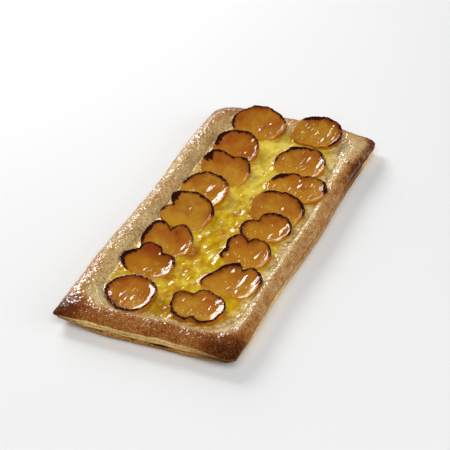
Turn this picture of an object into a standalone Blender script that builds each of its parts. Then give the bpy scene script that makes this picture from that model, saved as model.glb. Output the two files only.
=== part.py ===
"""Apricot tart: a rectangle of puff pastry with a raised border, a custard filling
and sixteen baked apricot halves laid in two rows, cut face up.

The origin is the middle of the underside. +Y runs along the tart to its far end,
+X to its right side and +Z up. Sizes below are in millimetres.
"""
import math

import bmesh
import bpy
import numpy as np
from mathutils import Euler, Matrix, Vector, noise

MM = 0.001

# Pastry: outer size at the edge of the top crust, and the heights of its section
HALF_WIDTH = 70.0
HALF_LENGTH = 151.5
CREST_HEIGHT = 17.0
FLOOR_HEIGHT = 6.5
OUTER_RADII = {"near_right": 5.0, "far_right": 8.0, "far_left": 14.0, "near_left": 3.5}
INNER_RADIUS = 29.0

# Points of each ring of the plan, and the least half width left between its corners
LEAST_HALF_END = 2.0
CORNER_STEPS = 5
LONG_STEPS = 24
SHORT_STEPS = 11

# Width of the border on each side; insets below are for a border of NOMINAL_BORDER
BORDER = {"left": 20.0, "right": 13.0, "near": 22.0, "far": 19.0}
NOMINAL_BORDER = 20.0

# Underside: how far each corner has curled off the table as it baked, how far in that
# reaches, and the share of its thickness that the crust loses at the tip
CORNER_LIFT = {"near_right": 5.5, "far_right": 5.0, "far_left": 3.0, "near_left": 6.0}
LIFT_REACH = 46.0
CORNER_EDGE_HEIGHT = 9.0
CORNER_THINNING = 0.55

# Plan: how far the left side is drawn in, how far the near end bulges and how much
# less of it to the right, and the waves of the long and the short edges as (height,
# length)
SIDE_HOLLOW = 1.6
NEAR_BULGE = 2.9
NEAR_BULGE_SKEW = 0.8
LONG_WAVE = (0.9, 23.0)
SHORT_WAVE = (0.6, 15.0)
WAVE_START = 1.0

# The share of its undercut that the right side loses, and how much wider its border
# is far off; each comes in over (start, length) across and along the tart
RIGHT_SIDE_STRAIGHTENING = 0.6
STRAIGHT_ACROSS = (40.0, 30.0)
STRAIGHT_ALONG = (-80.0, 60.0)
FAR_RIGHT_WIDENING = 5.0
WIDE_ACROSS = (0.0, 30.0)
WIDE_ALONG = (40.0, 70.0)

# Lumps of the baked crust and the sway of its inner edge: (height, length, seed)
CRUST_FROM = (9.0, 5.0)
LARGE_PUFF = (1.3, 24.0, 3.0)
SMALL_PUFF = (0.5, 9.0, 8.0)
BORDER_SWAY = (1.8, 30.0, 14.0)

# Section of the pastry from the underside, up the layered side, over the crest and
# down to the floor: (distance in from the edge, height)
UNDERSIDE = [(12.0, 0.0), (4.2, 0.3)]
LAYERED_SIDE = [(2.2, 2.0), (1.5, 4.3), (2.9, 5.5), (1.1, 6.7), (0.4, 9.0)]
CRUST_TOP = [(0.0, 11.2), (1.8, 13.6), (5.0, 15.8), (9.5, CREST_HEIGHT), (14.0, 16.0)]
INNER_SLOPE = [(17.6, 13.8), (20.0, 11.6), (22.6, 9.0), (25.5, 7.1), (29.0, FLOOR_HEIGHT)]

# Custard: its level and swells, and how far up the inner slope its edge climbs
CUSTARD_HEIGHT = 12.0
CUSTARD_SWELL = (0.7, 19.0, 21.0)
CUSTARD_CLIMB = 0.3
LOWEST_EDGE_SHARE = 0.15
HIGHEST_EDGE_SHARE = 0.95
CUSTARD_RINGS = [24.0, 33.0, 45.0]
GAP = 0.35

# Apricot halves. The section runs from the middle of the cut face, over the lip and
# the rim, and down the skin to the bottom: (share of the rim's radius, height)
FRUIT_SEGMENTS = 28
FRUIT_SECTION = [(0.0, -2.2), (0.60, -1.7), (0.96, 0.5), (1.0, -0.5),
                 (0.95, -5.2), (0.66, -9.8), (0.0, -11.5)]
RESTING_HEIGHT = 8.2
RESTING_SOFTNESS = 2.0

# Outline of a half: a rounded oval with waves of (number, height, start), and how
# strongly and how far its points are drawn together at a dent
OUTLINE_POWER = 2.3
RIM_WAVES = [(5.0, 0.35, 1.0), (9.0, 0.25, 2.0)]
DENT_PULL = 0.45
DENT_PULL_REACH = 2.2
WOBBLE_STEP = 1.7

# Each half: middle of its cut face (x, y), height of its lowest rim, half width and
# half length, turn, tilt (far side up) and roll (right side up) in degrees, and the
# dents in its outline as (direction in degrees, share of the radius, spread in degrees).
# L is the left row and R the right row, counted from the far end.
FRUIT = {
    "L1": ((-24.5, 127.0), 13.0, (23.5, 17.0), (-10, 19, 0), [(158, 0.20, 20)]),
    "L2": ((-27.5, 85.5), 12.5, (18.5, 19.0), (6, 16, -2), []),
    "L3": ((-23.5, 54.0), 12.5, (20.5, 19.0), (8, 15, -9), [(80, 0.26, 18), (212, 0.14, 20)]),
    "L4": ((-27.5, 21.0), 12.5, (19.0, 18.5), (-3, 15, 3), []),
    "L5": ((-27.5, -11.0), 12.5, (20.5, 18.0), (6, 18, -7), [(167, 0.42, 11)]),
    "L6": ((-26.5, -49.5), 12.5, (19.5, 17.5), (0, 16, -4), [(98, 0.42, 11)]),
    "L7": ((-30.0, -76.0), 12.5, (21.5, 16.5), (-10, 11, 1), [(58, 0.30, 14), (158, 0.30, 15)]),
    "L8": ((-24.0, -120.5), 17.0, (19.0, 19.5), (4, 4, 3), [(233, 0.22, 20)]),
    "R1": ((27.5, 128.0), 15.0, (19.5, 14.5), (0, 26, 3), [(200, -0.17, 19)]),
    "R2": ((27.5, 86.0), 12.5, (21.0, 17.5), (-2, 14, 3), [(148, 0.09, 10)]),
    "R3": ((37.5, 53.0), 12.5, (25.0, 15.5), (-5, 11, 6), [(97, 0.18, 9)]),
    "R4": ((34.5, 18.5), 12.5, (21.0, 18.0), (-2, 15, -3), [(102, 0.08, 4)]),
    "R5": ((34.5, -5.0), 12.5, (20.0, 16.0), (11, 10, 3), [(134, 0.46, 16)]),
    "R6": ((31.5, -40.0), 12.5, (21.0, 16.0), (-7, 12, 2), [(101, 0.27, 9), (186, 0.28, 17)]),
    "R7": ((39.5, -75.5), 12.5, (18.5, 17.5), (-9, 11, 3), [(93, 0.32, 9), (206, -0.42, 14)]),
    "R8": ((27.0, -116.0), 17.5, (20.0, 16.5), (2, 5, -2), [(125, 0.31, 11), (275, 0.23, 9)]),
}
PRESSED_INTO_CRUST = ["L1", "L7", "L8", "R1", "R3", "R4", "R5", "R6", "R7", "R8"]

# Where two halves overlap, the nearer one lies on top and presses into the other.
ROWS = [["L1", "L2", "L3", "L4", "L5", "L6", "L7", "L8"],
        ["R1", "R2", "R3", "R4", "R5", "R6", "R7", "R8"]]

COLOURS = {
    "pastry": (0.52, 0.26, 0.08, 1.0),
    "custard": (0.85, 0.60, 0.06, 1.0),
    "apricot": (0.62, 0.24, 0.02, 1.0),
}


def smooth_step(value):
    """0 below 0, 1 above 1, and a smooth rise between."""
    value = min(max(value, 0.0), 1.0)
    return value * value * (3.0 - 2.0 * value)


def rise(value, over):
    """0 before the start of a range, 1 after it, for a range of (start, length)."""
    start, length = over
    return smooth_step((value - start) / length)


def flat_noise(x, y, lump):
    """Noise in plan for lumps of (height, length, seed)."""
    height, length, seed = lump
    return height * noise.noise(Vector((x / length, y / length, seed)))


def corner_name(x, y):
    return ("near_" if y < 0 else "far_") + ("left" if x < 0 else "right")


def side_inset(inset, side):
    """Distance in from one side: the border's section is stretched to its width there."""
    if inset < NOMINAL_BORDER:
        return inset * BORDER[side] / NOMINAL_BORDER
    return inset - NOMINAL_BORDER + BORDER[side]


def outline(inset):
    """Points round the tart at a distance in from its edge, anticlockwise from above."""
    share = smooth_step(inset / NOMINAL_BORDER)
    right = HALF_WIDTH - side_inset(inset, "right")
    left = side_inset(inset, "left") - HALF_WIDTH
    far = HALF_LENGTH - side_inset(inset, "far")
    near = side_inset(inset, "near") - HALF_LENGTH
    arcs = []
    for x, y, start in [(right, near, -90), (right, far, 0), (left, far, 90), (left, near, 180)]:
        outer = OUTER_RADII[corner_name(x, y)]
        radius = min(outer + (INNER_RADIUS - outer) * share, (right - left) / 2 - LEAST_HALF_END)
        centre_x = x - math.copysign(radius, x)
        centre_y = y - math.copysign(radius, y)
        arc = []
        for step in range(CORNER_STEPS + 1):
            angle = math.radians(start + 90.0 * step / CORNER_STEPS)
            arc.append((centre_x + radius * math.cos(angle), centre_y + radius * math.sin(angle)))
        arcs.append(arc)
    points = []
    for index, arc in enumerate(arcs):
        points.extend(arc)
        begin = arc[-1]
        end = arcs[(index + 1) % 4][0]
        steps = LONG_STEPS if index % 2 == 0 else SHORT_STEPS
        for step in range(1, steps):
            along = step / steps
            points.append((begin[0] + (end[0] - begin[0]) * along,
                           begin[1] + (end[1] - begin[1]) * along))
    return points


def baked_plan(x, y):
    """Draw the left side in a little, push the near end out, and make the edges wavy."""
    along = y / HALF_LENGTH
    across = x / HALF_WIDTH
    if x < 0:
        x += SIDE_HOLLOW * math.cos(along * math.pi / 2) ** 2 * -across
    y -= smooth_step(-along) * (NEAR_BULGE - NEAR_BULGE_SKEW * across)
    x += LONG_WAVE[0] * math.sin(y / LONG_WAVE[1] + WAVE_START) * across * across
    y += SHORT_WAVE[0] * math.sin(x / SHORT_WAVE[1]) * along * along
    return x, y


def baked_height(x, y, inset, z):
    """Curl the corners up, thin their edge, and puff the crust unevenly."""
    side_x = math.copysign(HALF_WIDTH, x)
    side_y = math.copysign(HALF_LENGTH, y)
    reach = math.hypot(side_x - x, side_y - y)
    corner = smooth_step(1.0 - reach / LIFT_REACH)
    edge = smooth_step(1.0 - inset / UNDERSIDE[0][0])
    if z < CORNER_EDGE_HEIGHT:
        lift = CORNER_LIFT[corner_name(x, y)] * corner ** 1.5
        z += lift * edge * (1.0 - z / CORNER_EDGE_HEIGHT)
    else:
        z -= (z - CORNER_EDGE_HEIGHT) * CORNER_THINNING * corner ** 2 * edge
    crust = rise(z, CRUST_FROM)
    return z + crust * (flat_noise(x, y, LARGE_PUFF) + flat_noise(x, y, SMALL_PUFF))


def side_ring(inset, z):
    """A ring of the underside or the layered side, undercut least along the right."""
    ring = []
    for x, y in outline(inset):
        height = 0.0 if z == 0.0 else baked_height(x, y, inset, z)
        straight = rise(x, STRAIGHT_ACROSS) * rise(y, STRAIGHT_ALONG)
        x += RIGHT_SIDE_STRAIGHTENING * straight * side_inset(inset, "right")
        ring.append((*baked_plan(x, y), height))
    return ring


def top_ring(inset, z):
    """A ring of the crust or the recess: the border's width sways as it goes round."""
    sway = smooth_step(inset / NOMINAL_BORDER)
    ring = []
    for x, y in outline(inset):
        height = z if z == FLOOR_HEIGHT else baked_height(x, y, inset, z)
        shift = sway * flat_noise(x, y, BORDER_SWAY)
        length = math.hypot(x / HALF_WIDTH, y / HALF_LENGTH)
        widening = rise(x, WIDE_ACROSS) * rise(y, WIDE_ALONG)
        x -= shift * x / HALF_WIDTH / length + FAR_RIGHT_WIDENING * sway * widening
        y -= shift * y / HALF_LENGTH / length
        ring.append((*baked_plan(x, y), height))
    return ring


def new_object(name, mesh, colour, collection):
    mesh.materials.append(colour)
    thing = bpy.data.objects.new(name, mesh)
    collection.objects.link(thing)
    return thing


def new_material(name, colour):
    material = bpy.data.materials.new(name)
    material.use_nodes = True
    shader = material.node_tree.nodes["Principled BSDF"]
    shader.inputs["Base Color"].default_value = colour
    shader.inputs["Roughness"].default_value = 0.4
    return material


def loft(name, rings, lean_back=False):
    """Skin a stack of closed rings and close both ends with caps.

    lean_back turns the diagonals, so that a filling's facets match those of its mould.
    """
    shape = bmesh.new()
    loops = [[shape.verts.new(Vector(point) * MM) for point in ring] for ring in rings]
    count = len(loops[0])
    for lower, upper in zip(loops, loops[1:]):
        for i in range(count):
            j = (i + 1) % count
            if lean_back:
                shape.faces.new((lower[i], lower[j], upper[i]))
                shape.faces.new((lower[j], upper[j], upper[i]))
            else:
                shape.faces.new((lower[i], lower[j], upper[j]))
                shape.faces.new((lower[i], upper[j], upper[i]))
    shape.faces.new(list(reversed(loops[0])))
    shape.faces.new(loops[-1])
    bmesh.ops.triangulate(shape, faces=[face for face in shape.faces if len(face.verts) > 3])
    mesh = bpy.data.meshes.new(name)
    shape.to_mesh(mesh)
    shape.free()
    return mesh


def ring_normals(rings, index):
    """Outward directions of a loft at each point of one of its rings."""
    ring = np.array(rings[index])
    before = np.array(rings[max(index - 1, 0)])
    after = np.array(rings[min(index + 1, len(rings) - 1)])
    along = np.roll(ring, -1, axis=0) - np.roll(ring, 1, axis=0)
    normals = np.cross(along, after - before)
    return normals / np.linalg.norm(normals, axis=1, keepdims=True)


def build_pastry(colour, collection):
    rings = [side_ring(inset, z) for inset, z in UNDERSIDE + LAYERED_SIDE]
    rings += [top_ring(inset, z) for inset, z in CRUST_TOP + INNER_SLOPE]
    return new_object("pastry", loft("pastry", rings), colour, collection), rings


def build_custard(rings, colour, collection):
    """Fill the recess: the wall follows the inner slope at a small gap."""
    slope = len(rings) - len(INNER_SLOPE)
    wall = []
    for index in range(slope, len(rings)):
        offset = np.array(rings[index]) + GAP * ring_normals(rings, index)
        wall.append([tuple(point) for point in offset])
    floor = [(x, y, FLOOR_HEIGHT + GAP) for x, y, _ in wall[-1]]
    edge = []
    for upper, lower in zip(wall[0], wall[1]):
        share = (CUSTARD_HEIGHT + CUSTARD_CLIMB - lower[2]) / (upper[2] - lower[2])
        share = min(max(share, LOWEST_EDGE_SHARE), HIGHEST_EDGE_SHARE)
        edge.append(tuple(l + (u - l) * share for l, u in zip(lower, upper)))
    top = []
    for inset in CUSTARD_RINGS:
        ring = top_ring(inset, CUSTARD_HEIGHT)
        top.append([(x, y, CUSTARD_HEIGHT + flat_noise(x, y, CUSTARD_SWELL)) for x, y, _ in ring])
    stack = [floor, wall[3], wall[2], wall[1], edge] + top
    return new_object("custard", loft("custard", stack, lean_back=True), colour, collection)


def rim_radius(angle, size, dents, wobble):
    """Distance from the middle of the cut face to the rim."""
    across = abs(math.cos(angle) / size[0]) ** OUTLINE_POWER
    along = abs(math.sin(angle) / size[1]) ** OUTLINE_POWER
    radius = (across + along) ** (-1.0 / OUTLINE_POWER)
    for direction, depth, spread in dents:
        away = (math.degrees(angle) - direction + 180.0) % 360.0 - 180.0
        radius *= 1.0 - depth * math.exp(-0.5 * (away / spread) ** 2)
    for number, height, start in RIM_WAVES:
        radius += height * math.sin(number * angle + start * wobble)
    return radius


def toward_dents(angle, dents):
    """Draw outline points together where a dent needs them."""
    for direction, depth, spread in dents:
        away = (math.degrees(angle) - direction + 180.0) % 360.0 - 180.0
        pull = math.exp(-0.5 * (away / (DENT_PULL_REACH * spread)) ** 2)
        angle -= math.radians(DENT_PULL * away * pull)
    return angle


def build_fruit(name, spec, wobble, colour, collection, swell=0.0):
    """An apricot half: a hollowed cut face inside a rounded lip, over a dome of skin."""
    place, rim_height, size, (turn, tilt, roll), dents = spec
    shape = bmesh.new()
    bmesh.ops.create_uvsphere(shape, u_segments=FRUIT_SEGMENTS,
                              v_segments=len(FRUIT_SECTION) - 1, radius=1.0)
    for vert in shape.verts:
        from_top = math.acos(min(max(vert.co.z, -1.0), 1.0)) / math.pi
        across, height = FRUIT_SECTION[round(from_top * (len(FRUIT_SECTION) - 1))]
        angle = toward_dents(math.atan2(vert.co.y, vert.co.x), dents)
        across *= rim_radius(angle, size, dents, wobble)
        vert.co = (across * math.cos(angle), across * math.sin(angle), height)

    rotation = Euler((math.radians(tilt), -math.radians(roll), 0.0)).to_matrix()
    rotation = rotation @ Matrix.Rotation(math.radians(turn), 3, "Z")
    lowest_rim = min((rotation @ Vector((vert.co.x, vert.co.y, 0.0))).z for vert in shape.verts)
    centre = Vector((place[0], place[1], rim_height - lowest_rim))
    settle(shape, rotation, centre)
    shape.normal_update()
    if swell:
        normals = [vert.normal.copy() for vert in shape.verts]
        for vert, normal in zip(shape.verts, normals):
            vert.co += normal * swell
    bmesh.ops.scale(shape, vec=(MM, MM, MM), verts=shape.verts)
    bmesh.ops.triangulate(shape, faces=shape.faces)
    mesh = bpy.data.meshes.new(name)
    shape.to_mesh(mesh)
    shape.free()
    fruit = new_object(name, mesh, colour, collection)
    fruit.location = centre * MM
    fruit.rotation_euler = rotation.to_euler()
    return fruit


def settle(shape, rotation, centre):
    """Flatten what would sink through the filling onto the resting height."""
    back = rotation.inverted()
    for vert in shape.verts:
        spot = rotation @ vert.co + centre
        above = spot.z - RESTING_HEIGHT
        if above < RESTING_SOFTNESS:
            rest = RESTING_SOFTNESS * math.exp((above - RESTING_SOFTNESS) / RESTING_SOFTNESS)
            spot.z = RESTING_HEIGHT + rest
            vert.co = back @ (spot - centre)


def cut_away(thing, cutter):
    """Take the cutter's volume out of a solid."""
    step = thing.modifiers.new(cutter.name, "BOOLEAN")
    step.operation = "DIFFERENCE"
    step.solver = "EXACT"
    step.object = cutter


def keep_largest_body(thing):
    """Apply the cuts and drop any scrap that they leave loose."""
    bpy.context.view_layer.update()
    graph = bpy.context.evaluated_depsgraph_get()
    mesh = bpy.data.meshes.new_from_object(thing.evaluated_get(graph), depsgraph=graph)
    thing.modifiers.clear()
    thing.data = mesh
    shape = bmesh.new()
    shape.from_mesh(mesh)
    left = set(shape.verts)
    bodies = []
    while left:
        body = set()
        front = [left.pop()]
        while front:
            vert = front.pop()
            body.add(vert)
            for edge in vert.link_edges:
                other = edge.other_vert(vert)
                if other in left:
                    left.remove(other)
                    front.append(other)
        bodies.append(body)
    bodies.sort(key=len)
    scraps = [vert for body in bodies[:-1] for vert in body]
    bmesh.ops.delete(shape, geom=scraps, context="VERTS")
    shape.to_mesh(mesh)
    shape.free()


def bounds_of(thing):
    points = np.array([thing.matrix_world @ vert.co for vert in thing.data.vertices])
    return points.min(axis=0), points.max(axis=0)


def reaches(one, other):
    """Whether the bounding boxes of two things overlap."""
    low_a, high_a = bounds_of(one)
    low_b, high_b = bounds_of(other)
    return bool(np.all(low_a < high_b) and np.all(low_b < high_a))


def build():
    for thing in list(bpy.data.objects):
        bpy.data.objects.remove(thing, do_unlink=True)
    tart = bpy.data.collections.new("apricot_tart")
    cutters = bpy.data.collections.new("cutters")
    bpy.context.scene.collection.children.link(tart)
    bpy.context.scene.collection.children.link(cutters)
    colours = {name: new_material(name, value) for name, value in COLOURS.items()}

    pastry, rings = build_pastry(colours["pastry"], tart)
    custard = build_custard(rings, colours["custard"], tart)
    fruits = {}
    presses = {}
    for number, (key, spec) in enumerate(FRUIT.items()):
        wobble = WOBBLE_STEP * number
        fruits[key] = build_fruit("apricot_" + key, spec, wobble, colours["apricot"], tart)
        press = build_fruit("press_" + key, spec, wobble, colours["apricot"], cutters, GAP)
        press.display_type = "WIRE"
        press.hide_render = True
        presses[key] = press
    bpy.context.view_layer.update()

    for press in presses.values():
        cut_away(custard, press)
    for key in PRESSED_INTO_CRUST:
        cut_away(pastry, presses[key])
    for row in ROWS:
        for far, near in zip(row, row[1:]):
            if reaches(fruits[far], presses[near]):
                cut_away(fruits[far], presses[near])
    keep_largest_body(custard)

    low, high = bounds_of(pastry)
    for thing in list(tart.objects) + list(cutters.objects):
        thing.location.x -= (low[0] + high[0]) / 2
        thing.location.y -= (low[1] + high[1]) / 2


build()
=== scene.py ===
"""Looks of the apricot tart: baked crust, custard and glazed apricot halves.

Every shown piece is a finer version of its CAD solid, in the same place: the outline
and most of the sections below are the part's own, in millimetres, with the relief of
baking on top. The halves have a sharper lip, and two of them a flatter floor. Float
attributes on the meshes say how baked, charred or wet each spot is, and where shade
and light are painted on, and the node materials turn them into colour, gloss and bump.
"""

import math

import bmesh
import bpy
import numpy as np
from mathutils import Euler, Matrix, Vector, kdtree, noise


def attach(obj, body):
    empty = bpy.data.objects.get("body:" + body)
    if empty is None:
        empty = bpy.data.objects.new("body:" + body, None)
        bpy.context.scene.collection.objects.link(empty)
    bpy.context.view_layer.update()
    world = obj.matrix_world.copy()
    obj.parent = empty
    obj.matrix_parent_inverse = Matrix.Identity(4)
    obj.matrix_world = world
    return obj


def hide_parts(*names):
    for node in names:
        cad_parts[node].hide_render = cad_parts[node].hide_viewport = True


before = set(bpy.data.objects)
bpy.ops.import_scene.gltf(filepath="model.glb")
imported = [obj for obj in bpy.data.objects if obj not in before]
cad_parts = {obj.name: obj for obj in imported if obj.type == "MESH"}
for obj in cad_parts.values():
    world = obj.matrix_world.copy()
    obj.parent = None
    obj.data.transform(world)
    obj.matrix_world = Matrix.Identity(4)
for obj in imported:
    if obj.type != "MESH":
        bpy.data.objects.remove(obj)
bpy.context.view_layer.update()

MM = 0.001

# From the outline's frame to the part's, whose origin is the middle of its box
PLAN_SHIFT = (-0.290, 1.606)

# Pastry: the part's own sizes, with finer steps
HALF_WIDTH = 70.0
HALF_LENGTH = 151.5
CREST_HEIGHT = 17.0
FLOOR_HEIGHT = 6.5
OUTER_RADII = {"near_right": 5.0, "far_right": 8.0, "far_left": 14.0, "near_left": 3.5}
INNER_RADIUS = 29.0
CORNER_STEPS = 34
LONG_STEPS = 330
SHORT_STEPS = 150
BORDER = {"left": 20.0, "right": 13.0, "near": 22.0, "far": 19.0}
NOMINAL_BORDER = 20.0
CORNER_LIFT = {"near_right": 5.5, "far_right": 5.0, "far_left": 3.0, "near_left": 6.0}
LIFT_REACH = 46.0
CORNER_EDGE_HEIGHT = 9.0
CORNER_THINNING = 0.55
SIDE_HOLLOW = 1.6
NEAR_BULGE = 2.9
NEAR_BULGE_SKEW = 0.8
LONG_WAVE = (0.9, 23.0)
SHORT_WAVE = (0.6, 15.0)
WAVE_START = 1.0
RIGHT_SIDE_STRAIGHTENING = 0.6
STRAIGHT_ACROSS = (40.0, 30.0)
STRAIGHT_ALONG = (-80.0, 60.0)
FAR_RIGHT_WIDENING = 5.0
WIDE_ACROSS = (0.0, 30.0)
WIDE_ALONG = (40.0, 70.0)
CRUST_FROM = (9.0, 5.0)
LARGE_PUFF = (1.3, 24.0, 3.0)
SMALL_PUFF = (0.5, 9.0, 8.0)
BORDER_SWAY = (1.8, 30.0, 14.0)
UNDERSIDE = [(12.0, 0.0), (4.2, 0.3)]
LAYERED_SIDE = [(2.2, 2.0), (1.5, 4.3), (2.9, 5.5), (1.1, 6.7), (0.4, 9.0)]
CRUST_TOP = [(0.0, 11.2), (1.8, 13.6), (5.0, 15.8), (9.5, CREST_HEIGHT), (14.0, 16.0)]
INNER_SLOPE = [(17.6, 13.8), (20.0, 11.6), (22.6, 9.0), (25.5, 7.1), (29.0, FLOOR_HEIGHT)]

# Custard, from its edge to the line where its rings meet in the middle
CUSTARD_HEIGHT = 12.0
CUSTARD_SWELL = (0.7, 19.0, 21.0)
CUSTARD_EDGE = 18.6
CUSTARD_MIDDLE = 73.5
EDGE_TUCK = 20.2
WATERLINE = 12.6

# Apricot halves: the part's own, with a sharper lip
FRUIT_SEGMENTS = 168
FRUIT_SECTION = [(0.0, -2.2), (0.60, -1.7), (0.86, -0.9), (0.96, 0.5), (1.0, -0.5),
                 (0.95, -5.2), (0.66, -9.8), (0.0, -11.5)]
SECTION_WIDTH = 20.0
CREST_SHARE = 0.96
RESTING_HEIGHT = 8.2
RESTING_SOFTNESS = 2.0
OUTLINE_POWER = 2.3
RIM_WAVES = [(5.0, 0.35, 1.0), (9.0, 0.25, 2.0)]
RAISED_RIM = (13.6, 1.8)
DENT_PULL = 0.3
DENT_PULL_REACH = 2.2
WOBBLE_STEP = 1.7
FRUIT = {
    "L1": ((-24.5, 127.0), 13.0, (23.5, 17.0), (-10, 19, 0), [(158, 0.20, 20)]),
    "L2": ((-27.5, 85.5), 12.5, (18.5, 19.0), (6, 16, -2), []),
    "L3": ((-23.5, 54.0), 12.5, (20.5, 19.0), (8, 15, -9), [(80, 0.26, 18), (212, 0.14, 20)]),
    "L4": ((-27.5, 21.0), 12.5, (19.0, 18.5), (-3, 15, 3), []),
    "L5": ((-27.5, -11.0), 12.5, (20.5, 18.0), (6, 18, -7), [(167, 0.42, 11)]),
    "L6": ((-26.5, -49.5), 12.5, (19.5, 17.5), (0, 16, -4), [(98, 0.42, 11)]),
    "L7": ((-30.0, -76.0), 12.5, (21.5, 16.5), (-10, 11, 1), [(58, 0.30, 14), (158, 0.30, 15)]),
    "L8": ((-24.0, -120.5), 17.0, (19.0, 19.5), (4, 4, 3), [(233, 0.22, 20)]),
    "R1": ((27.5, 128.0), 15.0, (19.5, 14.5), (0, 26, 3), [(200, -0.17, 19)]),
    "R2": ((27.5, 86.0), 12.5, (21.0, 17.5), (-2, 14, 3), [(148, 0.09, 10)]),
    "R3": ((37.5, 53.0), 12.5, (25.0, 15.5), (-5, 11, 6), [(97, 0.18, 9)]),
    "R4": ((34.5, 18.5), 12.5, (21.0, 18.0), (-2, 15, -3), [(102, 0.08, 4)]),
    "R5": ((34.5, -5.0), 12.5, (20.0, 16.0), (11, 10, 3), [(134, 0.46, 16)]),
    "R6": ((31.5, -40.0), 12.5, (21.0, 16.0), (-7, 12, 2), [(101, 0.27, 9), (186, 0.28, 17)]),
    "R7": ((39.5, -75.5), 12.5, (18.5, 17.5), (-9, 11, 3), [(93, 0.32, 9), (206, -0.42, 14)]),
    "R8": ((27.0, -116.0), 17.5, (20.0, 16.5), (2, 5, -2), [(125, 0.31, 11), (275, 0.23, 9)]),
}

# The raised stretch of each rim that is charred, from and to in degrees
CHARRED = {
    "L1": (22, 224), "L2": (4, 180), "L3": (4, 166), "L4": (28, 176), "L5": (0, 200),
    "L6": (14, 214), "L7": (8, 240), "L8": (-180, 180), "R1": (-44, 152), "R2": (6, 194),
    "R3": (-2, 172), "R4": (2, 150), "R5": (-24, 236), "R6": (8, 222), "R7": (8, 212),
    "R8": (-180, 180),
}
# Its width where it is a thin line, and where it is broader or the flesh inside it is
# scorched: (direction, spread in degrees, more char in mm, more scorch in mm)
CHAR_LINE = 0.54
SCORCH_LINE = 1.2
CHAR = {
    "L1": [(203, 12, 0.9, 1.0), (120, 20, 0.0, 2.0)],
    "L2": [(160, 22, 2.6, 2.0), (60, 30, 0.2, 1.2)],
    "L3": [(157, 15, 4.2, 3.0), (30, 26, 0.3, 2.5)],
    "L4": [(160, 16, 0.6, 1.5), (50, 20, 0.3, 1.5)],
    "L5": [(143, 12, 4.5, 1.5), (40, 34, 0.4, 2.0)],
    "L6": [(172, 28, 1.4, 2.5), (98, 12, 0.2, 2.0)],
    "L7": [(190, 24, 2.4, 2.5), (58, 16, 0.3, 1.0)],
    "L8": [(225, 44, 1.3, 3.0), (120, 30, 0.1, 1.0)],
    "R1": [(118, 26, 1.2, 2.0), (-20, 24, 0.9, 2.0), (45, 26, 0.2, 4.0)],
    "R2": [(140, 18, 0.7, 4.0), (20, 20, 0.2, 1.5)],
    "R3": [(152, 14, 1.8, 3.0), (12, 14, 1.3, 2.0)],
    "R4": [(28, 24, 1.0, 3.5), (100, 20, 0.1, 1.5)],
    "R5": [(195, 22, 0.9, 5.0), (60, 40, 0.4, 2.0)],
    "R6": [(190, 30, 1.2, 2.5), (100, 14, 0.3, 3.5)],
    "R7": [(125, 22, 1.0, 6.5), (180, 18, 0.2, 3.0), (28, 18, 0.5, 2.0)],
    "R8": [(235, 34, 1.0, 1.5), (290, 14, 1.2, 2.0), (160, 20, 0.0, 3.0)],
}
# How much deeper than the others each cut face's colour is
DEEPER = {"L7": 0.34, "L2": 0.2, "R5": 0.15, "L1": 0.06, "L4": -0.28, "L5": -0.22, "R2": -0.24,
          "R8": -0.16, "R1": -0.1, "R3": -0.12, "R4": -0.12, "L3": -0.08}
# Cut faces with a flat floor and one long, even slope up to the rim, which shines as a
# crescent: (floor height, slope, share of the radius it starts at, direction, spread)
SCOOPED = {"L8": (-1.3, 0.31, 0.76, -9.0, 34.0), "R8": (-1.5, 0.38, 0.66, 5.0, 24.0)}
# How rippled the glaze is on each cut face
RIPPLES = {"R1": 0.9, "R2": 0.45, "R3": 0.4, "R7": 0.35, "R6": 0.35, "R8": 0.35, "L1": 0.3}
LEAST_RIPPLES = 0.16
# How thin the glaze is on the near right of the rim, where that shows no bright crescent
THIN_GLAZE = {"L1": 0.75, "L2": 0.35, "L3": 0.85, "L5": 0.75, "R1": 0.3, "R3": 0.7, "R4": 0.8,
              "R6": 0.5}
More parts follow.
